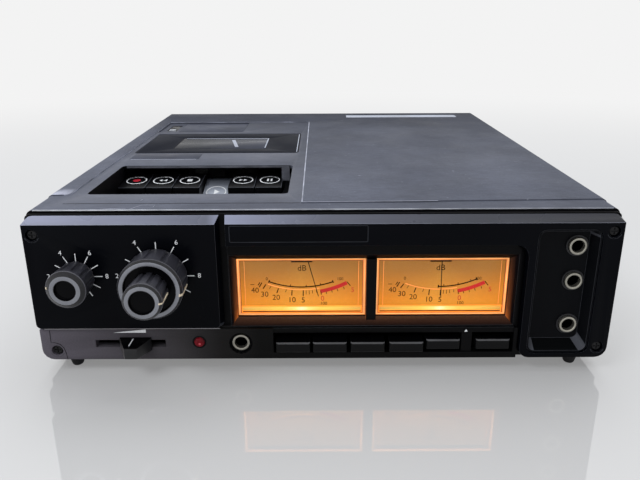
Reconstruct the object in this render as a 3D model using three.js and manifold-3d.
// A portable top-loading cassette deck with two level meters, in millimetres, +Z up.
// The origin is the centre of the bounding box at the height of the feet, and the front looks along -Y.
import * as THREE from 'three';
import { mergeVertices } from 'three/addons/utils/BufferGeometryUtils.js';
import Module from 'manifold-3d';

const wasm = await Module();
wasm.setup();

// Driving sizes of the whole deck
const bodyWidth = 350;
const caseDepth = 368;
const bodyHeight = 96;
const footHeight = 9;
const knobReach = 35;
const wall = 2.5;
const edgeRadius = 4;
const rearCornerRadius = 9;
const splitHeight = 40;
// Running clearance between neighbours, and how far a cutter passes the face that it cuts
const gap = 0.3;
const overrun = 1;

const frontY = -(caseDepth - knobReach) / 2;
const topZ = footHeight + bodyHeight;
const halfWidth = bodyWidth / 2;
const rearY = frontY + caseDepth;
const splitZ = footHeight + splitHeight;

// Front: depths count back from the panels' face, drops count down from the panels' upper face edge
const face = { topRise: 6.3, bevel: 4.2, sideBevel: 2, lowBevel: 0.8, thickness: 4.7, cornerRadius: 3,
  topCorner: 5.5 };
const faceTop = topZ - face.topRise;
const frameDrop = faceTop - footHeight;
const frame = { back: 8, crown: 4.8, inset: 0.4, cornerRadius: 7, topCorner: 3, stripDepth: 2,
  stripHeight: 21.5 };
const frameFront = face.thickness + gap;
const coverFront = frame.back + gap;
const stripDrop = frameDrop - frame.stripHeight;
const knobPanelSize = { width: 112, rise: 1 };
const knobPanel = { right: knobPanelSize.width - halfWidth, drop: stripDrop - knobPanelSize.rise };
const meterPanelSize = { split: 6, columnWidth: 54, rise: 1.2, stripDrop: 13.6, innerRadius: 8,
  footRadius: 6 };
const meterPanel = { ...meterPanelSize, left: knobPanel.right + meterPanelSize.split,
  columnLeft: halfWidth - meterPanelSize.columnWidth, drop: frameDrop - meterPanelSize.rise };

// Level meters and their sloped surround, between the knob panel and the jack column
const bezelSize = { depth: 4, back: 12.5, leftInset: 0.5, rightInset: 4.2, topInset: 7.4, bottomInset: 0.2 };
const bezel = { ...bezelSize, left: meterPanel.left + bezelSize.leftInset,
  right: meterPanel.columnLeft - bezelSize.rightInset, drop: meterPanel.stripDrop + bezelSize.topInset,
  bottom: stripDrop - bezelSize.bottomInset };
const dialSize = { leftSlope: 3, rightSlope: 2.2, topSlope: 5.9, bottomSlope: 1.9, dividerWidth: 6.2,
  leftShare: 0.494 };
const dialLeft = bezel.left + dialSize.leftSlope;
const dialRight = bezel.right - dialSize.rightSlope;
const dividerLeft = dialLeft + (dialRight - dialLeft - dialSize.dividerWidth) * dialSize.leftShare;
const dialArea = { left: dialLeft, right: dialRight, top: bezel.drop + dialSize.topSlope,
  bottom: bezel.bottom - dialSize.bottomSlope, dividerLeft,
  dividerRight: dividerLeft + dialSize.dividerWidth };
const divider = { front: 9 };
const pane = { thickness: 1.5, margin: 1.2 };
const meter = { wall: 1.5, room: 7, dialThickness: 1.2, movementRadius: 13, movementDepth: 16, pivotPin: 1 };
const needleSize = { width: 0.7, thickness: 0.5, hubRadius: 3, lean: [15, 1], pivotRise: 11.5,
  tipInset: 9.9 };
const needle = { ...needleSize, pivotDrop: dialArea.top - needleSize.pivotRise,
  length: dialArea.bottom - needleSize.tipInset - dialArea.top + needleSize.pivotRise };
const meterTop = needle.pivotDrop - needle.hubRadius - meter.wall;

// Jacks and the tray they sit in
const traySize = { leftInset: 4.6, rightInset: 12, drop: 4.5, bottomInset: 3.3, radius: 5, lip: 0.8,
  depth: 8, floor: 2,
  rightSlope: 4, bottomSlope: 6, skin: 1 };
const tray = { ...traySize, left: meterPanel.columnLeft + traySize.leftInset,
  right: halfWidth - traySize.rightInset,
  bottom: meterPanel.drop - traySize.bottomInset };
const jack = { hole: 3.85, ring: 5.4, ringLength: 2, sleeve: 4.6, body: 7, bodyLength: 20, bore: 24 };
const micJack = { inset: 11, dropShares: [0.156, 0.436, 0.802] };
const micJackX = tray.right - micJack.inset;
const micJackDrops = micJack.dropShares.map((share) => tray.drop + (tray.bottom - tray.drop) * share);
const phonesSize = { inset: 123.8, below: 10.8, recess: 7.3, recessDepth: 3 };
const phones = { ...phonesSize, x: phonesSize.inset - halfWidth, drop: stripDrop + phonesSize.below };

// Level knobs, all on axes square to the front, at shares of the knob panel's width and height
const atKnobPanel = ({ acrossShare, downShare }) => ({ x: knobPanelSize.width * acrossShare - halfWidth,
  drop: knobPanel.drop * downShare });
const blendSize = { acrossShare: 0.2625, downShare: 0.482, radius: 11.5, reach: 19.5, skirt: 1.2,
  bevel: 2.3, ring: 7.3,
  dish: 1.5 };
const outerSize = { acrossShare: 0.6884, downShare: 0.479, radius: 18.5, reach: 20, skirt: 1.2, bevel: 2,
  ring: 14.1,
  dish: 3 };
const blend = { ...blendSize, ...atKnobPanel(blendSize) };
const outer = { ...outerSize, ...atKnobPanel(outerSize) };
const inner = { radius: 11, reach: knobReach, bevel: 1.7, ring: 7.3, dish: 1.5, clearance: 0.8 };
const groove = { count: 12, width: 2, depth: 1, stop: 3.5 };
const shaft = { outerRadius: 3, innerRadius: 1.6, length: 22, innerExtra: 8 };
const bush = { radius: 4.6 };
const pot = { radius: 12, front: 10.5, back: 24 };
const board = { thickness: 1.6, inset: 3, top: 6, bottom: 5 };

// Slider for the phones level, and the lamp beside it
const sliderSize = { inset: 34, slotLength: 43.3, rest: 25, below: 10.5, slotHeight: 5.1, reach: 10,
  baseWidth: 20,
  baseHeight: 9, tipWidth: 7.7, tipHeight: 7.5, stemWidth: 5, stemLength: 14, bodyHeight: 13,
  bodyMargin: 4 };
const slotLeft = sliderSize.inset - halfWidth;
const slider = { ...sliderSize, slotLeft, slotRight: slotLeft + sliderSize.slotLength,
  x: slotLeft + sliderSize.rest,
  drop: stripDrop + sliderSize.below };
const lampSize = { inset: 98.2, below: 9.7, radius: 3.3, rise: 1.4, domeShare: 0.7, flange: 4.4,
  flangeLength: 3 };
const lamp = { ...lampSize, x: lampSize.inset - halfWidth, drop: stripDrop + lampSize.below };

// Push buttons, at shares of the width of their well
const wellSize = { leftInset: 26, rightInset: 3.5, topBelow: 4.3, bottomBelow: 17.4, lip: 1.2,
  postShares: [0.7852, 0.8283] };
const wellLeft = meterPanel.left + wellSize.leftInset;
const wellRight = meterPanel.columnLeft - wellSize.rightInset;
const acrossWell = (share) => wellLeft + (wellRight - wellLeft) * share;
const well = { left: wellLeft, right: wellRight, postLeft: acrossWell(wellSize.postShares[0]),
  postRight: acrossWell(wellSize.postShares[1]), top: stripDrop + wellSize.topBelow,
  bottom: stripDrop + wellSize.bottomBelow, lip: wellSize.lip };
const buttonShares = [0.0828, 0.235, 0.3919, 0.5515, 0.7077, 0.9152];
const buttonX = buttonShares.map(acrossWell);
const buttonNames = ['limiter_button', 'noise_filter_button', 'eq_button', 'tape_button',
  'meter_lamp_button',
  'power_button'];
const buttonLatched = [0, 0, 0, 0, 1, 1];
const buttonSize = { space: 1.6, height: 7.2, below: 12, out: 1.5, travel: 3, body: 12, edge: 0.7,
  plungerWidth: 8,
  plungerHeight: 4, plungerEnd: 36 };
const button = { ...buttonSize, width: buttonX[1] - buttonX[0] - buttonSize.space,
  drop: stripDrop + buttonSize.below };
const bank = { length: 18, margin: 4 };

// Front screws, each with its distance from the nearest side and from the upper or lower edge
const screw = { head: 3.3, recess: 3.65, recessDepth: 3.2, headHeight: 1.8, dome: 0.7, shank: 1.4, end: 13,
  slotWidth: 0.8, slotLength: 4, slotDepth: 0.9 };
const screwInset = { topLeft: [5.5, 6.4], topRight: [5.7, 5.5], lowLeft: [9.6, 6.2], lowRight: [6.1, 8.5] };
const screwPlaces = [
  [screwInset.topLeft[0] - halfWidth, screwInset.topLeft[1]],
  [halfWidth - screwInset.topRight[0], screwInset.topRight[1]],
  [screwInset.lowLeft[0] - halfWidth, frameDrop - screwInset.lowLeft[1]],
  [halfWidth - screwInset.lowRight[0], frameDrop - screwInset.lowRight[1]],
];

// Top of the case: depths count back from the panels' face, sinks count down from the cover's surface.
// The keys, the lid and the rear recess follow one another from the front to the back.
const keyWellSize = { leftSpace: 0.5, rightSpace: 7.9, front: 40.4, length: 75.1, radius: 3, wall: 2,
  sink: 31 };
const keyNames = ['record_key', 'rewind_key', 'stop_key', 'play_key', 'forward_key', 'pause_key'];
const keyPressed = [0, 0, 0, 1, 0, 0];
const keysSize = { inset: 24.5, pitch: 20.2, slit: 0.8, length: 30, overhang: 11.5, sink: 9.3,
  slopeDrop: 2.6, thick: 6.5,
  pivotBehind: 15, pivotSink: 21, boss: 4.5, tail: 3, rest: 13 };
const keyWellBack = keyWellSize.front + keyWellSize.length;
const keysBack = keyWellBack + keysSize.overhang;
const keys = { ...keysSize, left: keysSize.inset - halfWidth, front: keysBack - keysSize.length,
  back: keysBack,
  pivotDepth: keysBack + keysSize.pivotBehind };
const keysRight = keys.left + keyNames.length * keys.pitch - keys.slit;
const keyWell = { ...keyWellSize, left: keys.left - keyWellSize.leftSpace,
  right: keysRight + keyWellSize.rightSpace,
  back: keyWellBack };
const rod = { radius: 2, earWidth: 3, earHalf: 6, earStand: 2 };
const lidSize = { inset: 19.5, width: 135.8, behind: 16.3, length: 83.4, thickness: 4.4, radius: 4,
  pin: 1.1, pinReach: 3,
  lugWidth: 4, lugHalf: 2.8 };
const lidLeft = lidSize.inset - halfWidth;
const lidFront = keys.pivotDepth + lidSize.behind;
const lid = { ...lidSize, left: lidLeft, right: lidLeft + lidSize.width, front: lidFront,
  back: lidFront + lidSize.length };
const lidPaneSize = { leftInset: 28.5, rightInset: 28.3, frontInset: 16.7, backInset: 21.7, step: 1.2,
  ledge: 3 };
const lidPane = { ...lidPaneSize, left: lid.left + lidPaneSize.leftInset,
  right: lid.right - lidPaneSize.rightInset,
  front: lid.front + lidPaneSize.frontInset, back: lid.back - lidPaneSize.backInset };
const recessSize = { inset: 15.3, width: 83.7, behind: 8.3, length: 54, depth: 1, radius: 4 };
const recessLeft = recessSize.inset - halfWidth;
const recessFront = lid.back + recessSize.behind;
const rearRecess = { ...recessSize, left: recessLeft, right: recessLeft + recessSize.width,
  front: recessFront,
  back: recessFront + recessSize.length };
const counterSize = { inset: 5.7, width: 9.5, frontInset: 12, length: 30, sink: 1.4, buttonBehind: 2,
  buttonLength: 6,
  buttonInset: 1.6, travel: 1.6, stemHeight: 8 };
const counterLeft = rearRecess.left + counterSize.inset;
const counterFront = rearRecess.front + counterSize.frontInset;
const counter = { ...counterSize, left: counterLeft, right: counterLeft + counterSize.width,
  front: counterFront,
  back: counterFront + counterSize.length, buttonFront: counterFront + counterSize.buttonBehind };

// A thin textured skin on the cover leaves the front band and the field of the keys and the lid free
const skinSize = { rise: 0.7, fieldMargin: 0.6, seamBehind: 6.5, frontLeft: 38, seamFront: 20,
  rightFront: 25, radius: 4 };
const skin = { ...skinSize, left: rearRecess.left - skinSize.fieldMargin,
  seam: lid.right + skinSize.seamBehind, fieldBack: rearRecess.back + skinSize.fieldMargin };

// Transport on its plate: the hubs lie under the middle of the lid, and the head reaches towards them
const deckSize = { leftReach: 9, rightReach: 6.7, frontReach: 6.4, stepBehind: 9, backInset: 2, lowSink: 34,
  highSink: 22, thickness: 2, postRadius: 4 };
const deck = { ...deckSize, left: keyWell.left - deckSize.leftReach, right: keyWell.right + deckSize.rightReach,
  front: keyWell.front - deckSize.frontReach, step: keys.pivotDepth + deckSize.stepBehind,
  back: rearRecess.back - deckSize.backInset };
const postShares = [[0.0415, 0.097], [0.955, 0.097], [0.0415, 0.806], [0.955, 0.955]];
const postPlaces = postShares.map(([across, along]) => [deck.left + across * (deck.right - deck.left),
  deck.front + along * (deck.back - deck.front)]);
const cassette = { centreX: (lid.left + lid.right) / 2, hubDepth: (lid.front + lid.back) / 2,
  hubPitch: 42.5 };
const spindle = { hub: 3, fin: 4.4, finWidth: 1.6, table: 9, tableHeight: 1.6, height: 9.5, shaft: 2,
  stem: 8 };
const carriageSize = { halfWidth: 36, hubDistance: 33, length: 12, base: 2, headHalf: 6, headDepth: 8,
  headHeight: 10.5,
  stroke: 6, guideHalf: 1.5, guideX: 22, rollerX: 29, guideHeight: 9.5 };
const carriageBack = cassette.hubDepth - carriageSize.hubDistance;
const carriage = { ...carriageSize, front: carriageBack - carriageSize.length, back: carriageBack };
const roller = { radius: 5.5, height: 8, pin: 1.4 };
const capstan = { radius: 1.3, flywheel: 30, thickness: 7, sink: 48, top: 9.5, hub: 6, hubHeight: 3 };
const motorSize = { fromCentre: 42.6, backInset: 40, radius: 17, height: 20, boss: 6, bossLength: 3,
  shaft: 1.2 };
const motor = { ...motorSize, x: cassette.centreX + motorSize.fromCentre,
  depth: deck.back - motorSize.backInset };
const pulley = { radius: 5, flange: 6.5, flangeThickness: 1 };
const belt = { height: 3, thickness: 1 };

// Board, rear panel, battery compartment and feet
const mainBoardSize = { leftSpace: 17.5, rightInset: 10, front: 45, rearInset: 68, clearance: 14,
  thickness: 1.6,
  postRadius: 4 };
const mainBoard = { ...mainBoardSize, left: deck.right + mainBoardSize.leftSpace,
  right: halfWidth - mainBoardSize.rightInset, back: caseDepth - mainBoardSize.rearInset };
const rearSize = { sideInset: 25, bottomRise: 7, topSink: 21, thickness: 2, inset: 3, radius: 3 };
const rear = { ...rearSize, left: rearSize.sideInset - halfWidth, right: halfWidth - rearSize.sideInset,
  bottom: footHeight + rearSize.bottomRise, top: topZ - rearSize.topSink };
const batterySize = { rightInset: 10, width: 112, bottomRise: 8, topSink: 10, depth: 60, wall: 1.6 };
const batteryRight = rear.right - batterySize.rightInset;
const battery = { ...batterySize, left: batteryRight - batterySize.width, right: batteryRight,
  bottom: rear.bottom + batterySize.bottomRise, top: rear.top - batterySize.topSink };
const door = { thickness: 2, pinRadius: 1.5, pinReach: 1.5, catchWidth: 14, catchHeight: 3,
  catchDepth: 0.8, step: 3.2 };
const inletSize = { inset: 90, width: 24, height: 16, middleShare: 0.5147, depth: 12, wall: 1.5, pin: 1.2,
  pinLength: 8,
  pinHalf: 4 };
const inlet = { ...inletSize, left: rear.left + inletSize.inset,
  middle: rear.bottom + (rear.top - rear.bottom) * inletSize.middleShare };
const phonoSize = { inset: 20, rise: 22, radius: 4.2, bore: 1.6, flange: 5.5, flangeLength: 0.8, pitch: 20 };
const phono = { ...phonoSize, left: rear.left + phonoSize.inset, low: inlet.middle - phonoSize.rise / 2,
  high: inlet.middle + phonoSize.rise / 2 };
const footSize = { inset: 17, front: 12, rearInset: 18, top: 5.5, bottom: 3.5, ring: 1 };
const foot = { ...footSize, x: halfWidth - footSize.inset, back: caseDepth - footSize.rearInset };

const fine = 24;
const round = 16;
const coarse = 12;
const cornerSteps = 4;

// Solids: every shape is closed, and cut and joined as a solid
const toSolid = (geometry) => {
  const bare = geometry.clone();
  bare.deleteAttribute('normal');
  bare.deleteAttribute('uv');
  const merged = mergeVertices(bare, 1e-4);
  const mesh = new wasm.Mesh({
    numProp: 3,
    vertProperties: new Float32Array(merged.attributes.position.array),
    triVerts: new Uint32Array(merged.index.array),
  });
  return new wasm.Manifold(mesh);
};

const toGeometry = (solid) => {
  const mesh = solid.getMesh();
  const geometry = new THREE.BufferGeometry();
  geometry.setAttribute('position', new THREE.BufferAttribute(new Float32Array(mesh.vertProperties), 3));
  geometry.setIndex(new THREE.BufferAttribute(new Uint32Array(mesh.triVerts), 1));
  return geometry;
};

const join = (...solids) => solids.reduce((sum, next) => sum.add(next));
const cut = (body, ...cutters) => cutters.reduce((rest, cutter) => rest.subtract(cutter), body);

// Places on the front and on the top
const yAt = (depth) => frontY + depth;
const zAt = (drop) => faceTop - drop;
const zSink = (sink) => topZ - sink;

const block = (x0, x1, y0, y1, z0, z1) => {
  const geometry = new THREE.BoxGeometry(x1 - x0, y1 - y0, z1 - z0);
  geometry.translate((x0 + x1) / 2, (y0 + y1) / 2, (z0 + z1) / 2);
  return toSolid(geometry);
};

// A corner as an arc from one side to the next, or as a single point when its radius is zero
const arcPoints = (cx, cy, radius, from, to, steps) => Array.from({ length: steps + 1 }, (_, i) => {
  const angle = from + ((to - from) * i) / steps;
  return [cx + radius * Math.cos(angle), cy + radius * Math.sin(angle)];
});

// Outline of a rectangle, counterclockwise from its lower left corner, with a radius for each corner
const roundedOutline = (u0, u1, v0, v1, radii, steps = cornerSteps) => {
  const [lowLeft, lowRight, highRight, highLeft] = radii;
  const quarter = Math.PI / 2;
  return [
    ...arcPoints(u0 + lowLeft, v0 + lowLeft, lowLeft, 2 * quarter, 3 * quarter, steps),
    ...arcPoints(u1 - lowRight, v0 + lowRight, lowRight, 3 * quarter, 4 * quarter, steps),
    ...arcPoints(u1 - highRight, v1 - highRight, highRight, 0, quarter, steps),
    ...arcPoints(u0 + highLeft, v1 - highLeft, highLeft, quarter, 2 * quarter, steps),
  ];
};

// A solid through a row of outlines with equal numbers of points; place turns (u, v, level) into a point
const loft = (levels, place) => {
  const count = levels[0].outline.length;
  const points = levels.flatMap(({ outline, at }) => outline.map(([u, v]) => place(u, v, at)));
  const faces = [];
  for (let level = 0; level + 1 < levels.length; level += 1) {
    for (let i = 0; i < count; i += 1) {
      const a = level * count + i;
      const b = level * count + ((i + 1) % count);
      faces.push([a, b, b + count], [a, b + count, a + count]);
    }
  }
  const flat = (outline) => outline.map(([u, v]) => new THREE.Vector2(u, v));
  const last = (levels.length - 1) * count;
  THREE.ShapeUtils.triangulateShape(flat(levels[0].outline), []).forEach(([a, b, c]) => faces.push([a, c,
  b]));
  THREE.ShapeUtils.triangulateShape(flat(levels.at(-1).outline), [])
    .forEach(([a, b, c]) => faces.push([last + a, last + b, last + c]));
  const geometry = new THREE.BufferGeometry();
  geometry.setAttribute('position', new THREE.BufferAttribute(new Float32Array(points.flat()), 3));
  geometry.setIndex(faces.flat());
  return toSolid(geometry);
};

// Outlines drawn on the front (x, z) and stacked backwards, on the top (x, y) and stacked upwards,
// or on the side (y, z) and stacked to the right
const frontLoft = (levels) => loft(levels.map(({ outline, at }) => ({ outline, at: -at })), (x, z,
  at) => [x, -at, z]);
const topLoft = (levels) => loft(levels, (x, y, at) => [x, y, at]);
const sideLoft = (levels) => loft(levels, (y, z, at) => [at, y, z]);

const frontPrism = (outline, y0, y1) => frontLoft([{ outline, at: y1 }, { outline, at: y0 }]);
const topPrism = (outline, z0, z1) => topLoft([{ outline, at: z0 }, { outline, at: z1 }]);
const sidePrism = (outline, x0, x1) => sideLoft([{ outline, at: x0 }, { outline, at: x1 }]);

// Turned pieces: a profile of [radius, height] pairs that starts and ends on the axis or closes on itself
const turned = (profile, segments) => {
  const points = profile.map(([radius, height]) => new THREE.Vector2(radius, height));
  return new THREE.LatheGeometry(points, segments);
};
const turnedUp = (profile, x, y, segments = round) => {
  const geometry = turned(profile, segments);
  geometry.rotateX(Math.PI / 2);
  geometry.translate(x, y, 0);
  return toSolid(geometry);
};
// Heights of this one are y values, from front to back
const turnedBack = (profile, x, z, segments = round) => {
  const geometry = turned(profile, segments);
  geometry.translate(x, 0, z);
  return toSolid(geometry);
};
const rodUp = (radius, x, y, z0, z1, segments = round) =>
  turnedUp([[0, z0], [radius, z0], [radius, z1], [0, z1]], x, y, segments);
const rodBack = (radius, x, z, y0, y1, segments = round) =>
  turnedBack([[0, y0], [radius, y0], [radius, y1], [0, y1]], x, z, segments);
const rodAcross = (radius, y, z, x0, x1, segments = round) => {
  const geometry = turned([[0, x0], [radius, x0], [radius, x1], [0, x1]], segments);
  geometry.rotateZ(-Math.PI / 2);
  geometry.translate(0, y, z);
  return toSolid(geometry);
};

const degrees = (angle) => (angle * Math.PI) / 180;

// Materials
const finish = (colour, roughness, metalness = 0) =>
  new THREE.MeshStandardMaterial({ color: colour, roughness, metalness });
const coverPlastic = finish(0x4a4d57, 0.55);
const casePlastic = finish(0x2b2c30, 0.6);
const panelBlack = finish(0x14151a, 0.4);
const knobBlack = finish(0x121214, 0.45);
const keyBlack = finish(0x1a1b1f, 0.45);
const keyGrey = finish(0x8a8d94, 0.45);
const satinMetal = finish(0xb9bbbe, 0.32, 0.9);
const plateMetal = finish(0x8f9296, 0.45, 0.8);
const blackMetal = finish(0x1c1c1e, 0.4, 0.6);
const dialAmber = finish(0xf0a24a, 0.6);
const needleBlack = finish(0x101010, 0.5);
const rubberBlack = finish(0x161616, 0.9);
const lampRed = finish(0x7a1410, 0.25);
const boardGreen = finish(0x2f5a35, 0.6);
const smokedPlastic = finish(0x33343a, 0.12);
const clearPlastic = finish(0xf3d9a6, 0.1);

const deckGroup = new THREE.Group();
const addPiece = (name, solid, material) => {
  const mesh = new THREE.Mesh(toGeometry(solid), material);
  mesh.name = name;
  deckGroup.add(mesh);
};

// The cassette lid turns about the centre of its round rear edge
const lidPivotY = yAt(lid.back) - lid.thickness / 2;
const lidPivotZ = topZ - lid.thickness / 2;

// Case halves: a box with rounded upper side edges, rounded rear corners and a rounded rear edge
const caseBlock = (inset, y0, z0, z1) => {
  const side = halfWidth - inset;
  const back = rearY - inset;
  const top = z1 - inset;
  const edge = edgeRadius - inset;
  const corner = rearCornerRadius - inset;
  const plan = roundedOutline(-side, side, y0, back, [0, 0, corner, corner].map((r) => Math.max(r, 0)));
  const section = roundedOutline(-side, side, z0, top, [0, 0, edge, edge]);
  const profile = roundedOutline(y0, back, z0, top, [0, 0, corner, 0]);
  return topPrism(plan, z0, top)
    .intersect(frontPrism(section, y0, back))
    .intersect(sidePrism(profile, -side, side));
};

const frontLap = yAt(coverFront);
const openFront = frontLap - overrun;

// The skin in plan: round the field on three sides, with a rounded end at the front of its left arm
const skinOutline = [
  ...arcPoints(skin.left - skin.radius, yAt(skin.frontLeft) + skin.radius, skin.radius, -Math.PI / 2, 0,
    cornerSteps),
  [skin.left, yAt(skin.fieldBack)],
  [skin.seam, yAt(skin.fieldBack)],
  [skin.seam, yAt(skin.seamFront)],
  [halfWidth + overrun, yAt(skin.rightFront)],
  [halfWidth + overrun, rearY + overrun],
  [-halfWidth - overrun, rearY + overrun],
  [-halfWidth - overrun, yAt(skin.frontLeft)],
];

const rearOpening = roundedOutline(rear.left - gap, rear.right + gap, rear.bottom - gap, rear.top + gap,
  [rear.radius, rear.radius, rear.radius, rear.radius]);
const rearOpeningCutter = () => frontPrism(rearOpening, rearY - wall - overrun, rearY + overrun);

const topCover = () => {
  const floor = zSink(wall);
  const hull = caseBlock(0, frontLap, splitZ + gap, topZ);
  const hollow = caseBlock(wall, openFront, splitZ - overrun, topZ);
  const keyRadii = [keyWell.radius, keyWell.radius, keyWell.radius, keyWell.radius];
  const keyHole = (margin) => roundedOutline(keyWell.left - margin, keyWell.right + margin,
    yAt(keyWell.front) - margin, yAt(keyWell.back) + margin, keyRadii);
  // The skirt hangs round the front and the sides of the well, and stays open behind for the keys
  const skirt = cut(topPrism(keyHole(keyWell.wall), zSink(keyWell.sink), floor + overrun),
    block(keyWell.left - wall - overrun, keyWell.right + wall + overrun, yAt(keyWell.back) - keyWell.wall,
      yAt(keyWell.back) + wall + overrun, zSink(keyWell.sink) - overrun, floor));
  const lidHole = topPrism(roundedOutline(lid.left - gap, lid.right + gap, yAt(lid.front) - gap,
    yAt(lid.back) + gap,
    [lid.radius, lid.radius, 0, 0]), floor - overrun, topZ + overrun);
  // Two lugs under the skin hold the lid's stub pins
  const lugs = [lid.left - gap - lid.lugWidth, lid.right + gap].map((x) => block(x, x + lid.lugWidth,
    lidPivotY - lid.lugHalf, lidPivotY + lid.lugHalf, lidPivotZ - lid.lugHalf, floor + wall / 2));
  const pinHole = rodAcross(lid.pin + gap, lidPivotY, lidPivotZ, lid.left - lid.pinReach - gap,
    lid.right + lid.pinReach + gap,
    coarse);
  const recess = topPrism(roundedOutline(rearRecess.left, rearRecess.right, yAt(rearRecess.front),
    yAt(rearRecess.back),
    [rearRecess.radius, rearRecess.radius, rearRecess.radius, rearRecess.radius]),
  zSink(rearRecess.depth), topZ + overrun);
  const counterHole = block(counter.left - gap, counter.right + gap, yAt(counter.front) - gap,
    yAt(counter.back) + gap,
    floor - overrun, topZ + overrun);
  const skinSheet = caseBlock(0, frontLap, splitZ + gap, topZ + skin.rise)
    .intersect(topPrism(skinOutline, topZ - rearCornerRadius, topZ + skin.rise + overrun));
  const shell = join(cut(join(hull, skinSheet), hollow), skirt, ...lugs);
  return cut(shell, topPrism(keyHole(0), floor - keyWell.sink, topZ + overrun), lidHole, pinHole, recess,
    counterHole,
    rearOpeningCutter());
};

const bottomCase = () => {
  const floorTop = footHeight + wall;
  const side = halfWidth;
  const corner = rearCornerRadius;
  const plan = roundedOutline(-side, side, frontLap, rearY, [0, 0, corner, corner]);
  const innerPlan = roundedOutline(-side + wall, side - wall, openFront, rearY - wall, [0, 0,
    corner - wall, corner - wall]);
  const tub = cut(topPrism(plan, footHeight, splitZ), topPrism(innerPlan, floorTop, splitZ + overrun));
  const posts = [[mainBoard.left, mainBoard.front], [mainBoard.right, mainBoard.front],
    [mainBoard.left, mainBoard.back], [mainBoard.right, mainBoard.back]]
    .map(([x, depth]) => [x + Math.sign(halfWidth / 2 - x) * mainBoard.postRadius * 2,
      yAt(depth) + Math.sign(caseDepth / 2 - depth) * mainBoard.postRadius * 2])
    .map(([x, y]) => rodUp(mainBoard.postRadius, x, y, floorTop - wall / 2,
    floorTop + mainBoard.clearance - gap, coarse));
  return cut(join(tub, ...posts), rearOpeningCutter());
};

// Front frame: a plate behind the panels, the lower strip, and the sloped surround of the meters
const frameLeft = -halfWidth + frame.inset;
const frameRight = halfWidth - frame.inset;
const frameOutline = roundedOutline(frameLeft, frameRight, footHeight, faceTop + frame.crown,
  [frame.cornerRadius, frame.cornerRadius, frame.topCorner, frame.topCorner]);
const columnLeft = meterPanel.columnLeft - face.lowBevel - gap;

const potAxes = [blend, outer];
const screwHole = ([x, drop], from, to) => rodBack(screw.shank + gap, x, zAt(drop), yAt(from), yAt(to),
  coarse);

const frontFrame = () => {
  const plate = frontPrism(frameOutline, yAt(frameFront), yAt(frame.back));
  const strip = frontPrism(frameOutline, yAt(frame.stripDepth), yAt(frame.back))
    .intersect(block(frameLeft - overrun, columnLeft, yAt(frame.stripDepth), yAt(frame.back),
    footHeight - overrun,
      zAt(stripDrop + face.lowBevel)));
  const bezelTop = zAt(meterPanel.stripDrop + face.lowBevel + gap);
  const surround = frontPrism(roundedOutline(meterPanel.left, columnLeft, zAt(stripDrop + gap), bezelTop,
    [0, 0, meterPanel.innerRadius, 0]), yAt(bezel.depth), yAt(bezel.back));
  const level = (left, right, low, high, at) => ({ outline: roundedOutline(left, right, low, high, [0, 0,
    0, 0]), at });
  const slopeCutter = frontLoft([
    level(dialArea.left, dialArea.right, zAt(dialArea.bottom), zAt(dialArea.top), yAt(bezel.back)),
    level(bezel.left, bezel.right, zAt(bezel.bottom), zAt(bezel.drop), yAt(bezel.depth)),
  ]);
  const windowHole = block(dialArea.left, dialArea.right, yAt(bezel.back) - overrun,
    yAt(bezel.back) + overrun,
    zAt(dialArea.bottom), zAt(dialArea.top));
  const frontMouth = block(bezel.left, bezel.right, yAt(bezel.depth) - overrun, yAt(bezel.depth),
    zAt(bezel.bottom),
    zAt(bezel.drop));
  const post = block(dialArea.dividerLeft, dialArea.dividerRight, yAt(divider.front), yAt(bezel.back),
    zAt(dialArea.bottom + overrun), zAt(dialArea.top - overrun));
  const wellHole = (left, right) => block(left, right, yAt(frame.stripDepth) - overrun,
    yAt(bezel.back) + overrun,
    zAt(well.bottom), zAt(well.top));
  const lipHole = block(well.left, well.right, yAt(frame.stripDepth) - overrun,
    yAt(frame.stripDepth + well.lip),
    zAt(well.bottom), zAt(stripDrop));
  const slot = block(slider.slotLeft, slider.slotRight, yAt(frame.stripDepth) - overrun,
    yAt(frame.back) + overrun,
    zAt(slider.drop + slider.slotHeight / 2), zAt(slider.drop - slider.slotHeight / 2));
  const shaftHoles = potAxes.map(({ x, drop }) => rodBack(bush.radius + gap, x, zAt(drop),
    yAt(frameFront) - overrun,
    yAt(frame.back) + overrun));
  const lampHole = rodBack(lamp.radius + gap, lamp.x, zAt(lamp.drop), yAt(frame.stripDepth) - overrun,
    yAt(frame.back) + overrun,
    coarse);
  const phonesHoles = [
    rodBack(phones.recess, phones.x, zAt(phones.drop), yAt(frame.stripDepth) - overrun,
      yAt(frame.stripDepth + phones.recessDepth)),
    rodBack(jack.sleeve + gap, phones.x, zAt(phones.drop), yAt(frame.stripDepth), yAt(frame.back) + overrun),
  ];
  const trayHole = block(tray.left - gap, tray.right + gap, yAt(frameFront) - overrun,
    yAt(frame.back) + overrun,
    zAt(tray.bottom + gap), zAt(tray.drop - gap));
  const stripScrew = screwPlaces[2];
  const screwRecess = rodBack(screw.recess, stripScrew[0], zAt(stripScrew[1]),
    yAt(frame.stripDepth) - overrun,
    yAt(frame.stripDepth + screw.recessDepth), coarse);
  const screwHoles = screwPlaces.map((place) => screwHole(place, frame.stripDepth, frame.back + overrun));
  const body = cut(join(plate, strip, surround), slopeCutter, windowHole, frontMouth);
  return cut(join(body, post), wellHole(well.left, well.postLeft), wellHole(well.postRight, well.right),
    lipHole,
    slot, ...shaftHoles, lampHole, ...phonesHoles, trayHole, screwRecess, ...screwHoles);
};

const panelScrewHoles = (places) => places.flatMap(([x, drop]) => [
  rodBack(screw.recess, x, zAt(drop), yAt(0) - overrun, yAt(screw.recessDepth), coarse),
  screwHole([x, drop], 0, face.thickness + overrun),
]);

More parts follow.
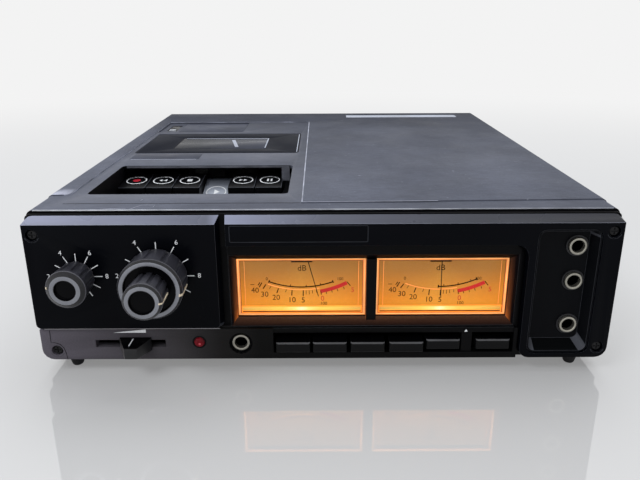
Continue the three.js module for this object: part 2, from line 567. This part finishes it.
const knobPanelSolid = () => {
  const left = -halfWidth;
  const outline = (top, right, drop, topLeft) => roundedOutline(left, right, zAt(drop), faceTop + top,
    [face.cornerRadius, face.cornerRadius, 0, topLeft]);
  const wide = outline(face.bevel, knobPanel.right + face.sideBevel, knobPanel.drop + face.lowBevel,
    face.topCorner);
  const plate = frontLoft([
    { outline: wide, at: yAt(face.thickness) },
    { outline: wide, at: yAt(face.bevel) },
    { outline: outline(0, knobPanel.right, knobPanel.drop, 0), at: yAt(0) },
  ]);
  const shaftHoles = potAxes.map(({ x, drop }) => rodBack(bush.radius + gap, x, zAt(drop), yAt(0) - overrun,
    yAt(face.thickness) + overrun));
  return cut(plate, ...shaftHoles, ...panelScrewHoles([screwPlaces[0]]));
};

// The panel runs over the meters and down the right side, in one angled piece
const meterPanelSolid = () => {
  const quarter = Math.PI / 2;
  const outline = (grow, low, topRight) => {
    const right = halfWidth;
    const bottom = zAt(meterPanel.drop + low);
    const inner = meterPanel.innerRadius;
    const columnX = meterPanel.columnLeft - low;
    const stripZ = zAt(meterPanel.stripDrop + low);
    const footRadius = meterPanel.footRadius;
    return [
      [meterPanel.left - low, stripZ],
      ...arcPoints(columnX - inner, stripZ - inner, inner, quarter, 0, cornerSteps),
      ...arcPoints(columnX + footRadius, bottom + footRadius, footRadius, 2 * quarter, 3 * quarter,
      cornerSteps),
      ...arcPoints(right - frame.cornerRadius, bottom + frame.cornerRadius, frame.cornerRadius,
      3 * quarter, 4 * quarter,
        cornerSteps),
      ...arcPoints(right - topRight, faceTop + grow - topRight, topRight, 0, quarter, cornerSteps),
      [meterPanel.left - low, faceTop + grow],
    ];
  };
  const wide = outline(face.bevel, face.lowBevel / 2, face.topCorner);
  const plate = frontLoft([
    { outline: wide, at: yAt(face.thickness) },
    { outline: wide, at: yAt(face.bevel) },
    { outline: outline(0, 0, 0), at: yAt(0) },
  ]);
  const trayRadii = [tray.radius, tray.radius, tray.radius, tray.radius];
  const trayHole = frontPrism(roundedOutline(tray.left - gap, tray.right + gap, zAt(tray.bottom + gap),
    zAt(tray.drop - gap), trayRadii), yAt(0) - overrun, yAt(face.thickness) + overrun);
  return cut(plate, trayHole, ...panelScrewHoles([screwPlaces[1], screwPlaces[3]]));
};

const jackTray = () => {
  const radii = [tray.radius, tray.radius, tray.radius, tray.radius];
  const body = frontPrism(roundedOutline(tray.left, tray.right, zAt(tray.bottom), zAt(tray.drop), radii),
    yAt(tray.lip), yAt(tray.depth + tray.floor));
  const mouth = roundedOutline(tray.left + tray.skin, tray.right - tray.skin, zAt(tray.bottom - tray.skin),
    zAt(tray.drop + tray.skin), radii.map((r) => r - tray.skin));
  const floorOutline = roundedOutline(tray.left + tray.skin, tray.right - tray.rightSlope,
    zAt(tray.bottom - tray.bottomSlope), zAt(tray.drop + tray.skin), radii.map((r) => r - tray.skin));
  const hollow = frontLoft([
    { outline: floorOutline, at: yAt(tray.depth) },
    { outline: mouth, at: yAt(tray.lip) },
    { outline: mouth, at: yAt(tray.lip) - overrun },
  ]);
  const holes = micJackDrops.map((drop) => rodBack(jack.sleeve + gap, micJackX, zAt(drop),
    yAt(tray.depth) - overrun,
    yAt(tray.depth + tray.floor) + overrun));
  return cut(body, hollow, ...holes);
};

// A jack: ring in front of its seat, sleeve through it, body behind, with a blind hole for the plug
const jackSolid = (x, drop, seat, back) => {
  const front = yAt(seat - gap - jack.ringLength);
  return turnedBack([
    [0, front + jack.bore],
    [jack.hole, front + jack.bore],
    [jack.hole, front],
    [jack.ring, front],
    [jack.ring, yAt(seat - gap)],
    [jack.sleeve, yAt(seat - gap)],
    [jack.sleeve, yAt(back + gap)],
    [jack.body, yAt(back + gap)],
    [jack.body, yAt(back + gap + jack.bodyLength)],
    [0, yAt(back + gap + jack.bodyLength)],
  ], x, zAt(drop));
};

const screwSolid = ([x, drop], seat) => {
  const top = seat - gap - screw.headHeight;
  const body = turnedBack([
    [0, yAt(top)],
    [screw.head - screw.dome, yAt(top)],
    [screw.head, yAt(top + screw.dome)],
    [screw.head, yAt(seat - gap)],
    [screw.shank, yAt(seat - gap)],
    [screw.shank, yAt(screw.end)],
    [0, yAt(screw.end)],
  ], x, zAt(drop), coarse);
  const slot = (wide, high) => block(x - wide / 2, x + wide / 2, yAt(top) - overrun,
    yAt(top + screw.slotDepth),
    zAt(drop) - high / 2, zAt(drop) + high / 2);
  return cut(body, slot(screw.slotLength, screw.slotWidth), slot(screw.slotWidth, screw.slotLength));
};

// Knob body: plain near its face, fluted behind, with a ring and a dished centre
const gripOutline = (radius, x, z) => {
  const half = groove.width / 2 / radius;
  return Array.from({ length: groove.count }, (_,
    i) => (2 * Math.PI * i) / groove.count).flatMap((angle) => {
    const next = angle + (2 * Math.PI) / groove.count;
    const at = (turn, r) => [x + r * Math.cos(turn), z + r * Math.sin(turn)];
    return [
      at(angle - half, radius),
      at(angle - half, radius - groove.depth),
      at(angle + half, radius - groove.depth),
      at(angle + half, radius),
      at((angle + next) / 2, radius),
    ];
  });
};

const knobBody = ({ x, drop, radius, reach, bevel, ring, dish }, backDepth) => {
  const z = zAt(drop);
  const front = yAt(-reach);
  const plainEnd = front + bevel + groove.stop;
  const head = turnedBack([
    [0, front + dish],
    [ring - dish / 2, front + dish],
    [ring, front],
    [radius - bevel, front],
    [radius, front + bevel],
    [radius, plainEnd],
    [0, plainEnd],
  ], x, z, fine);
  const grip = frontPrism(gripOutline(radius, x, z), plainEnd - overrun, yAt(backDepth));
  return join(head, grip);
};

const blendKnob = () => join(
  knobBody(blend, -blend.skirt),
  rodBack(shaft.outerRadius, blend.x, zAt(blend.drop), yAt(-blend.skirt) - overrun, yAt(shaft.length),
  coarse),
);

const innerBore = shaft.innerRadius + gap;
const innerPlace = { ...inner, x: outer.x, drop: outer.drop };
const innerSeat = -outer.reach - inner.clearance;

const outerKnob = () => cut(
  join(knobBody(outer, -outer.skirt),
    rodBack(shaft.outerRadius, outer.x, zAt(outer.drop), yAt(-outer.skirt) - overrun, yAt(shaft.length),
    coarse)),
  rodBack(innerBore, outer.x, zAt(outer.drop), yAt(-outer.reach) - overrun, yAt(shaft.length) + overrun,
  coarse),
);

const innerKnob = () => join(
  knobBody(innerPlace, innerSeat + inner.clearance + outer.dish - gap),
  rodBack(shaft.innerRadius, outer.x, zAt(outer.drop), yAt(innerSeat),
  yAt(shaft.length + shaft.innerExtra), coarse),
);

// Control board: the pots behind the two knobs and the slide pot below them
const controlBoard = () => {
  const left = -halfWidth + wall + board.inset;
  const right = knobPanel.right + board.inset;
  const back = pot.back + gap;
  const plate = block(left, right, yAt(back), yAt(back + board.thickness),
    footHeight + wall + board.bottom, zAt(board.top));
  const bodies = potAxes.map(({ x, drop }) => join(
    rodBack(pot.radius, x, zAt(drop), yAt(pot.front), yAt(back) + overrun),
    rodBack(bush.radius, x, zAt(drop), yAt(face.thickness), yAt(pot.front) + overrun),
  ));
  const bodyLow = zAt(slider.drop + slider.bodyHeight / 2);
  const slide = block(slider.slotLeft - slider.bodyMargin, slider.slotRight + slider.bodyMargin,
    yAt(pot.front), yAt(back) + overrun,
    bodyLow, bodyLow + slider.bodyHeight);
  const slideSlot = block(slider.slotLeft, slider.slotRight, yAt(pot.front) - overrun,
    yAt(slider.stemLength + gap),
    zAt(slider.drop + slider.slotHeight / 2), zAt(slider.drop - slider.slotHeight / 2));
  const bores = potAxes.map(({ x, drop }) => rodBack(shaft.outerRadius + gap, x, zAt(drop), yAt(0),
    yAt(shaft.length + gap), coarse));
  const through = rodBack(innerBore, outer.x, zAt(outer.drop), yAt(0),
    yAt(shaft.length + shaft.innerExtra) + overrun, coarse);
  return cut(join(plate, ...bodies, slide), slideSlot, ...bores, through);
};

const sliderKnob = () => {
  const level = (width, height, at) => ({
    outline: roundedOutline(slider.x - width / 2, slider.x + width / 2, zAt(slider.drop + height / 2),
      zAt(slider.drop - height / 2), [0, 0, 0, 0]),
    at,
  });
  const cap = frontLoft([
    level(slider.baseWidth, slider.baseHeight, yAt(frame.stripDepth - gap)),
    level(slider.tipWidth, slider.tipHeight, yAt(-slider.reach)),
  ]);
  const stemHeight = slider.slotHeight - 2 * gap;
  const stem = block(slider.x - slider.stemWidth / 2, slider.x + slider.stemWidth / 2,
    yAt(frame.stripDepth - gap) - overrun,
    yAt(slider.stemLength), zAt(slider.drop) - stemHeight / 2, zAt(slider.drop) + stemHeight / 2);
  return join(cap, stem);
};

const alarmLamp = () => turnedBack([
  [0, yAt(frame.stripDepth - lamp.rise)],
  [lamp.radius * lamp.domeShare, yAt(frame.stripDepth - lamp.rise * lamp.domeShare)],
  [lamp.radius, yAt(frame.stripDepth)],
  [lamp.radius, yAt(frame.back + gap)],
  [lamp.flange, yAt(frame.back + gap)],
  [lamp.flange, yAt(frame.back + gap + lamp.flangeLength)],
  [0, yAt(frame.back + gap + lamp.flangeLength)],
], lamp.x, zAt(lamp.drop), coarse);

// Push buttons and the bank that guides their plungers
const pushButton = (x, latched) => {
  const shift = latched * button.travel;
  const front = shift - button.out;
  const level = (inset, at) => ({
    outline: roundedOutline(x - button.width / 2 + inset, x + button.width / 2 - inset,
      zAt(button.drop + button.height / 2) + inset, zAt(button.drop - button.height / 2) - inset, [0, 0,
      0, 0]),
    at,
  });
  const cap = frontLoft([
    level(0, yAt(shift + button.body)),
    level(0, yAt(front + button.edge)),
    level(button.edge, yAt(front)),
  ]);
  const plunger = block(x - button.plungerWidth / 2, x + button.plungerWidth / 2,
    yAt(shift + button.body) - overrun,
    yAt(shift + button.plungerEnd), zAt(button.drop) - button.plungerHeight / 2,
    zAt(button.drop) + button.plungerHeight / 2);
  return join(cap, plunger);
};

const switchBank = () => {
  const front = button.body + button.travel + gap;
  const low = footHeight + wall + gap;
  const body = block(well.left - bank.margin, well.right, yAt(front), yAt(front + bank.length), low,
    zAt(button.drop - button.height / 2 - bank.margin));
  const slots = buttonX.map((x) => block(x - button.plungerWidth / 2 - gap,
    x + button.plungerWidth / 2 + gap,
    yAt(front) - overrun, yAt(front + bank.length) + overrun,
    zAt(button.drop) - button.plungerHeight / 2 - gap, zAt(button.drop) + button.plungerHeight / 2 + gap));
  return cut(body, ...slots);
};

// Level meters: a housing open to the front, whose back is the dial, and a needle that hangs from its pivot
const meterSides = [
  { name: 'left', left: dialArea.left, right: dialArea.dividerLeft, lean: needle.lean[0] },
  { name: 'right', left: dialArea.dividerRight, right: dialArea.right, lean: needle.lean[1] },
];
const paneFront = bezel.back + gap;
const housingFront = paneFront + pane.thickness + gap;
const dialDepth = housingFront + meter.room;
const needleDepth = housingFront + meter.room / 2;

const meterHousing = ({ left, right }) => {
  const middle = (left + right) / 2;
  const outerBox = block(left - meter.wall, right + meter.wall, yAt(housingFront),
    yAt(dialDepth + meter.dialThickness),
    zAt(dialArea.bottom + meter.wall), zAt(meterTop - meter.wall));
  const room = block(left, right, yAt(housingFront) - overrun, yAt(dialDepth), zAt(dialArea.bottom),
    zAt(meterTop));
  const movement = rodBack(meter.movementRadius, middle, zAt((dialArea.top + dialArea.bottom) / 2),
    yAt(dialDepth + meter.dialThickness) - overrun / 2,
    yAt(dialDepth + meter.dialThickness + meter.movementDepth));
  const pin = rodBack(meter.pivotPin, middle, zAt(needle.pivotDrop), yAt(housingFront + overrun),
    yAt(dialDepth) + overrun / 2, coarse);
  return join(cut(outerBox, room), movement, pin);
};

const meterNeedle = ({ left, right, lean }) => {
  const middle = (left + right) / 2;
  const blade = new THREE.BoxGeometry(needle.width, needle.thickness, needle.length);
  blade.translate(0, 0, -needle.length / 2);
  blade.rotateY(-degrees(lean));
  blade.translate(middle, yAt(needleDepth), zAt(needle.pivotDrop));
  const hub = rodBack(needle.hubRadius, middle, zAt(needle.pivotDrop), yAt(needleDepth) - needle.thickness,
    yAt(needleDepth) + needle.thickness, coarse);
  const bore = rodBack(meter.pivotPin + gap, middle, zAt(needle.pivotDrop), yAt(housingFront),
    yAt(dialDepth), coarse);
  return cut(join(toSolid(blade), hub), bore);
};

const meterWindow = () => block(dialArea.left - pane.margin, dialArea.right + pane.margin, yAt(paneFront),
  yAt(paneFront + pane.thickness), zAt(dialArea.bottom + pane.margin), zAt(dialArea.top - pane.margin));

// Transport keys: a sloped cap, and a lever back to the boss on the common rod
const rodY = yAt(keys.pivotDepth);
const rodZ = zSink(keys.pivotSink);
const keyWidth = keys.pitch - keys.slit;

const transportKey = (index) => {
  const left = keys.left + index * keys.pitch;
  const capTop = zSink(keys.sink);
  const outline = [
    [yAt(keys.front), capTop - keys.slopeDrop - keys.thick],
    [rodY - keys.boss, rodZ - keys.tail],
    [rodY, rodZ - keys.boss],
    [rodY + keys.boss, rodZ],
    [rodY, rodZ + keys.boss],
    [yAt(keys.back) + keys.tail, rodZ + keys.boss],
    [yAt(keys.back), capTop],
    [yAt(keys.front), capTop - keys.slopeDrop],
  ].map(([y, z]) => {
    const turn = degrees(keys.rest * keyPressed[index]);
    const dy = y - rodY;
    const dz = z - rodZ;
    return [rodY + dy * Math.cos(turn) - dz * Math.sin(turn),
      rodZ + dy * Math.sin(turn) + dz * Math.cos(turn)];
  });
  return cut(sidePrism(outline, left, left + keyWidth),
    rodAcross(rod.radius + gap, rodY, rodZ, left - overrun, left + keyWidth + overrun, coarse));
};

const earPlaces = [keys.left - gap - rod.earWidth, keysRight + gap];
const keyShaft = () => rodAcross(rod.radius, rodY, rodZ, earPlaces[0], earPlaces[1] + rod.earWidth, coarse);

// Cassette lid with its stub pins, and the smoked window in it
const paneOutline = (margin) => roundedOutline(lidPane.left - margin, lidPane.right + margin,
  yAt(lidPane.front) - margin,
  yAt(lidPane.back) + margin, [lid.radius / 2, lid.radius / 2, lid.radius / 2, lid.radius / 2]);

const cassetteLid = () => {
  const low = zSink(lid.thickness);
  const plan = topPrism(roundedOutline(lid.left, lid.right, yAt(lid.front), yAt(lid.back), [lid.radius,
    lid.radius, 0, 0]),
    low, topZ);
  const section = sidePrism(roundedOutline(yAt(lid.front), yAt(lid.back), low, topZ,
    [0, lid.thickness / 2, lid.thickness / 2, 0]), lid.left, lid.right);
  const pins = rodAcross(lid.pin, lidPivotY, lidPivotZ, lid.left - lid.pinReach, lid.right + lid.pinReach,
    coarse);
  const hole = topPrism(paneOutline(-lidPane.ledge), low - overrun, topZ + overrun);
  const step = topPrism(paneOutline(gap), zSink(lidPane.step + gap), topZ + overrun);
  return cut(join(plan.intersect(section), pins), hole, step);
};

const lidWindow = () => topPrism(paneOutline(0), zSink(lidPane.step), topZ);

// Deck plate: a low part under the keys, a high part that carries the cassette, and posts down to the case
const highTop = zSink(deck.highSink);
const lowTop = zSink(deck.lowSink);
const flywheelX = cassette.centreX + carriage.rollerX;
const flywheelY = yAt(carriage.back) + gap + capstan.radius;
const spindleX = [cassette.centreX - cassette.hubPitch / 2, cassette.centreX + cassette.hubPitch / 2];
const spindleY = yAt(cassette.hubDepth);

const deckPlate = () => {
  const low = block(deck.left, deck.right, yAt(deck.front), yAt(deck.step) + deck.thickness,
    lowTop - deck.thickness, lowTop);
  const riser = block(deck.left, deck.right, yAt(deck.step), yAt(deck.step) + deck.thickness,
    lowTop - deck.thickness / 2, highTop);
  const high = block(deck.left, deck.right, yAt(deck.step), yAt(deck.back), highTop - deck.thickness,
    highTop);
  const posts = postPlaces.map(([x, depth]) => rodUp(deck.postRadius, x, yAt(depth), footHeight + wall + gap,
    (depth < deck.step ? lowTop : highTop) - deck.thickness / 2, coarse));
  const ears = earPlaces.map((x) => cut(
    block(x, x + rod.earWidth, rodY - rod.earHalf, rodY + rod.earHalf, lowTop - deck.thickness / 2,
    rodZ + rod.radius + rod.earStand),
    rodAcross(rod.radius + gap, rodY, rodZ, x - overrun, x + rod.earWidth + overrun, coarse)));
  const spindleHoles = spindleX.map((x) => rodUp(spindle.shaft + gap, x, spindleY,
    highTop - deck.thickness - overrun,
    highTop + overrun, coarse));
  const capstanHole = rodUp(capstan.radius + gap, flywheelX, flywheelY,
    highTop - deck.thickness - overrun, highTop + overrun, coarse);
  const counterSeat = block(counter.left, counter.right, yAt(counter.front), yAt(counter.back),
    highTop - deck.thickness / 2, zSink(counter.sink) - 2 * counter.stemHeight);
  return cut(join(low, riser, high, ...posts, ...ears, counterSeat), ...spindleHoles, capstanHole);
};

const reelSpindle = (x) => {
  const base = highTop + gap;
  const shape = turnedUp([
    [0, base - deck.thickness - spindle.stem],
    [spindle.shaft, base - deck.thickness - spindle.stem],
    [spindle.shaft, base],
    [spindle.table, base],
    [spindle.table, base + spindle.tableHeight],
    [spindle.hub, base + spindle.tableHeight],
    [spindle.hub, base + spindle.height - spindle.hub / 2],
    [spindle.hub / 2, base + spindle.height],
    [0, base + spindle.height],
  ], x, spindleY);
  const fin = new THREE.BoxGeometry(spindle.fin * 2, spindle.finWidth, spindle.height - spindle.hub);
  const fins = [0, 1, 2].map((i) => {
    const turnedFin = fin.clone();
    turnedFin.rotateZ((i * Math.PI) / 3);
    turnedFin.translate(x, spindleY, base + (spindle.height - spindle.hub) / 2);
    return toSolid(turnedFin);
  });
  return join(shape, ...fins);
};

const capstanFlywheel = () => {
  const bottom = zSink(capstan.sink) - capstan.thickness;
  const top = zSink(capstan.sink);
  return turnedUp([
    [0, bottom],
    [capstan.flywheel, bottom],
    [capstan.flywheel, top],
    [capstan.hub, top],
    [capstan.hub, top + capstan.hubHeight],
    [capstan.radius, top + capstan.hubHeight],
    [capstan.radius, highTop + capstan.top],
    [0, highTop + capstan.top],
  ], flywheelX, flywheelY, fine);
};

const headBlock = () => {
  const base = highTop + gap;
  const middle = cassette.centreX;
  const front = yAt(carriage.front);
  const back = yAt(carriage.back);
  const plate = block(middle - carriage.halfWidth, middle + carriage.halfWidth, front, back, base,
    base + carriage.base);
  const head = block(middle - carriage.headHalf, middle + carriage.headHalf, back - carriage.headDepth,
    back + carriage.stroke / 2,
    base + carriage.base / 2, base + carriage.headHeight);
  const guides = [-carriage.guideX, carriage.guideX].map((x) => block(middle + x - carriage.guideHalf,
    middle + x + carriage.guideHalf, back - carriage.headDepth, back, base + carriage.base / 2,
    base + carriage.guideHeight));
  const pin = rodUp(roller.pin, flywheelX, back - roller.radius, base + carriage.base / 2,
    base + carriage.base + gap + roller.height, coarse);
  return join(plate, head, ...guides, pin);
};

const pinchRoller = () => {
  const base = highTop + 2 * gap + carriage.base;
  const y = yAt(carriage.back) - roller.radius;
  return cut(rodUp(roller.radius, flywheelX, y, base, base + roller.height),
    rodUp(roller.pin + gap, flywheelX, y, base - overrun, base + roller.height + overrun, coarse));
};

// Motor under the plate, its pulley in the plane of the flywheel, and the belt round both
const motorY = yAt(motor.depth);
const motorTop = highTop - deck.thickness - gap;
const beltLow = zSink(capstan.sink) - capstan.thickness / 2 - belt.height / 2;

const motorSolid = () => turnedUp([
  [0, beltLow - belt.height],
  [motor.shaft, beltLow - belt.height],
  [motor.shaft, motorTop - motor.height - motor.bossLength],
  [motor.boss, motorTop - motor.height - motor.bossLength],
  [motor.boss, motorTop - motor.height],
  [motor.radius, motorTop - motor.height],
  [motor.radius, motorTop],
  [0, motorTop],
], motor.x, motorY, fine);

const motorPulley = () => {
  const low = beltLow - gap;
  const high = beltLow + belt.height + gap;
  const bore = motor.shaft + gap;
  return turnedUp([
    [bore, low - pulley.flangeThickness],
    [pulley.flange, low - pulley.flangeThickness],
    [pulley.flange, low],
    [pulley.radius, low],
    [pulley.radius, high],
    [pulley.flange, high],
    [pulley.flange, high + pulley.flangeThickness],
    [bore, high + pulley.flangeThickness],
    [bore, low - pulley.flangeThickness],
  ], motor.x, motorY);
};

const driveBelt = () => {
  const dx = motor.x - flywheelX;
  const dy = motorY - flywheelY;
  const span = Math.hypot(dx, dy);
  const heading = Math.atan2(dy, dx);
  const loop = (margin) => {
    const large = capstan.flywheel + margin;
    const small = pulley.radius + margin;
    const open = Math.acos((large - small) / span);
    return [
      ...arcPoints(motor.x, motorY, small, heading - open, heading + open, round),
      ...arcPoints(flywheelX, flywheelY, large, heading + open, heading + 2 * Math.PI - open, fine),
    ];
  };
  return cut(topPrism(loop(gap + belt.thickness), beltLow, beltLow + belt.height),
    topPrism(loop(gap), beltLow - overrun, beltLow + belt.height + overrun));
};

// Tape counter in the rear recess, with its reset button in the same housing
const counterTop = zSink(counter.sink);
const counterSlot = [yAt(counter.buttonFront), yAt(counter.buttonFront + counter.buttonLength)];

const tapeCounter = () => {
  const body = block(counter.left, counter.right, yAt(counter.front), yAt(counter.back),
    counterTop - 2 * counter.stemHeight + gap, counterTop);
  const slot = block(counter.left + counter.buttonInset - gap, counter.right - counter.buttonInset + gap,
    counterSlot[0] - gap, counterSlot[1] + gap, counterTop - counter.stemHeight - counter.travel - gap,
    counterTop + overrun);
  return cut(body, slot);
};

const resetButton = () => block(counter.left + counter.buttonInset, counter.right - counter.buttonInset,
  counterSlot[0],
  counterSlot[1], counterTop - counter.stemHeight, topZ - rearRecess.depth / 2);

// Main board on the posts of the bottom case, with its larger components
const mainBoardSolid = () => {
  const low = footHeight + wall + mainBoard.clearance;
  const top = low + mainBoard.thickness;
  const width = mainBoard.right - mainBoard.left;
  const length = mainBoard.back - mainBoard.front;
  const plate = block(mainBoard.left, mainBoard.right, yAt(mainBoard.front), yAt(mainBoard.back), low, top);
  // Places and sizes of the components, as shares of the board
  const partShares = [[0.1, 0.12, 0.22, 0.1], [0.42, 0.1, 0.16, 0.16], [0.7, 0.14, 0.2, 0.08], [0.12, 0.4,
    0.14, 0.2],
    [0.4, 0.44, 0.3, 0.12], [0.76, 0.4, 0.14, 0.24], [0.2, 0.72, 0.2, 0.1]];
  const blocks = partShares.map(([x, y, w, l]) => block(mainBoard.left + x * width,
    mainBoard.left + (x + w) * width,
    yAt(mainBoard.front + y * length), yAt(mainBoard.front + (y + l) * length),
    top - mainBoard.thickness / 2,
    top + mainBoard.clearance));
  return join(plate, ...blocks);
};

// Rear panel with sockets and the battery compartment behind its door
const rearFace = rearY - rear.inset;
const doorPivotZ = battery.bottom + door.pinRadius + gap;
const doorPivotY = rearFace - door.thickness / 2;

const rearPanel = () => {
  const plate = frontPrism(roundedOutline(rear.left, rear.right, rear.bottom, rear.top,
    [rear.radius, rear.radius, rear.radius, rear.radius]), rearFace - rear.thickness, rearFace);
  const boxFront = rearFace - battery.depth;
  const grow = battery.wall;
  const box = block(battery.left - grow, battery.right + grow, boxFront - grow,
    rearFace - rear.thickness / 2,
    battery.bottom - grow, battery.top + grow);
  const room = block(battery.left, battery.right, boxFront, rearY + overrun, battery.bottom, battery.top);
  const pinHoles = rodAcross(door.pinRadius + gap, doorPivotY, doorPivotZ,
    battery.left - door.pinReach - gap,
    battery.right + door.pinReach + gap, coarse);
  const sockets = [phono.low, phono.high].flatMap((z) => [0, 1].map((i) => {
    const x = phono.left + i * phono.pitch;
    const end = rearY - gap;
    const barrel = join(rodBack(phono.radius, x, z, rearFace - rear.thickness / 2, end),
      rodBack(phono.flange, x, z, rearFace - rear.thickness / 2, rearFace + phono.flangeLength, coarse));
    return { barrel, bore: rodBack(phono.bore, x, z, rearFace, end + overrun, coarse) };
  }));
  const inletLow = inlet.middle - inlet.height / 2;
  const shell = block(inlet.left - inlet.wall, inlet.left + inlet.width + inlet.wall,
    rearFace - inlet.depth - inlet.wall,
    rearFace - rear.thickness / 2, inletLow - inlet.wall, inletLow + inlet.height + inlet.wall);
  const hollow = block(inlet.left, inlet.left + inlet.width, rearFace - inlet.depth, rearFace + overrun,
    inletLow,
    inletLow + inlet.height);
  const pins = [-inlet.pinHalf, inlet.pinHalf].map((x) => rodBack(inlet.pin,
    inlet.left + inlet.width / 2 + x, inlet.middle,
    rearFace - inlet.depth - inlet.wall / 2, rearFace - inlet.depth + inlet.pinLength, coarse));
  const body = cut(join(plate, box, shell, ...sockets.map(({ barrel }) => barrel)), room, hollow, pinHoles,
    ...sockets.map(({ bore }) => bore));
  return join(body, ...pins);
};

const batteryDoor = () => {
  const left = battery.left + gap;
  const right = battery.right - gap;
  const low = battery.bottom + gap;
  const leaf = block(left, right, rearFace - door.thickness, rearFace, doorPivotZ, battery.top - gap);
  const heel = rodAcross(door.pinRadius, doorPivotY, doorPivotZ, left, right, coarse);
  const pins = rodAcross(door.pinRadius, doorPivotY, doorPivotZ, battery.left - door.pinReach,
    battery.right + door.pinReach, coarse);
  const middle = (left + right) / 2;
  const catchLow = battery.top - gap - door.step - door.catchHeight;
  const thumb = block(middle - door.catchWidth / 2, middle + door.catchWidth / 2,
    rearFace - door.thickness + door.catchDepth,
    rearFace + overrun, catchLow, catchLow + door.catchHeight);
  return cut(join(leaf, heel, pins), thumb).subtract(block(left, right, rearFace, rearY, low - overrun,
    low));
};

const rubberFoot = (x, depth) => turnedUp([
  [0, 0],
  [foot.bottom - foot.ring, 0],
  [foot.bottom, foot.ring],
  [foot.top, footHeight - gap - foot.ring],
  [foot.top, footHeight - gap],
  [0, footHeight - gap],
], x, yAt(depth), coarse);

addPiece('bottom_case', bottomCase(), casePlastic);
addPiece('top_cover', topCover(), coverPlastic);
addPiece('front_frame', frontFrame(), panelBlack);
addPiece('knob_panel', knobPanelSolid(), panelBlack);
addPiece('meter_panel', meterPanelSolid(), panelBlack);
addPiece('jack_tray', jackTray(), panelBlack);
addPiece('rear_panel', rearPanel(), casePlastic);
addPiece('battery_door', batteryDoor(), casePlastic);

addPiece('foot_front_left', rubberFoot(-foot.x, foot.front), rubberBlack);
addPiece('foot_front_right', rubberFoot(foot.x, foot.front), rubberBlack);
addPiece('foot_rear_left', rubberFoot(-foot.x, foot.back), rubberBlack);
addPiece('foot_rear_right', rubberFoot(foot.x, foot.back), rubberBlack);

screwPlaces.forEach((place, index) => {
  const seat = screw.recessDepth + (index === 2 ? frame.stripDepth : 0);
  addPiece(`front_screw_${index + 1}`, screwSolid(place, seat), blackMetal);
});

addPiece('blend_knob', blendKnob(), knobBlack);
addPiece('input_knob_outer', outerKnob(), knobBlack);
addPiece('input_knob_inner', innerKnob(), knobBlack);
addPiece('control_board', controlBoard(), plateMetal);
addPiece('slider_knob', sliderKnob(), knobBlack);
addPiece('alarm_lamp', alarmLamp(), lampRed);
addPiece('phones_jack', jackSolid(phones.x, phones.drop, frame.stripDepth + phones.recessDepth,
  frame.back), satinMetal);
['left', 'right', 'blend'].forEach((name, index) => {
  addPiece(`mic_jack_${name}`, jackSolid(micJackX, micJackDrops[index], tray.depth,
  tray.depth + tray.floor), satinMetal);
});

buttonNames.forEach((name, index) => addPiece(name, pushButton(buttonX[index], buttonLatched[index]),
  keyBlack));
addPiece('switch_bank', switchBank(), plateMetal);

meterSides.forEach((side) => {
  addPiece(`meter_${side.name}_housing`, meterHousing(side), dialAmber);
  addPiece(`meter_${side.name}_needle`, meterNeedle(side), needleBlack);
});
addPiece('meter_window', meterWindow(), clearPlastic);

keyNames.forEach((name, index) => addPiece(name, transportKey(index),
  keyPressed[index] ? keyGrey : keyBlack));
addPiece('key_shaft', keyShaft(), satinMetal);
addPiece('cassette_lid', cassetteLid(), coverPlastic);
addPiece('lid_window', lidWindow(), smokedPlastic);
addPiece('deck_plate', deckPlate(), plateMetal);
addPiece('supply_spindle', reelSpindle(spindleX[0]), keyBlack);
addPiece('takeup_spindle', reelSpindle(spindleX[1]), keyBlack);
addPiece('capstan_flywheel', capstanFlywheel(), satinMetal);
addPiece('head_block', headBlock(), satinMetal);
addPiece('pinch_roller', pinchRoller(), rubberBlack);
addPiece('motor', motorSolid(), plateMetal);
addPiece('motor_pulley', motorPulley(), satinMetal);
addPiece('drive_belt', driveBelt(), rubberBlack);
addPiece('tape_counter', tapeCounter(), keyBlack);
addPiece('counter_reset_button', resetButton(), keyGrey);
addPiece('circuit_board', mainBoardSolid(), boardGreen);

export default deckGroup;
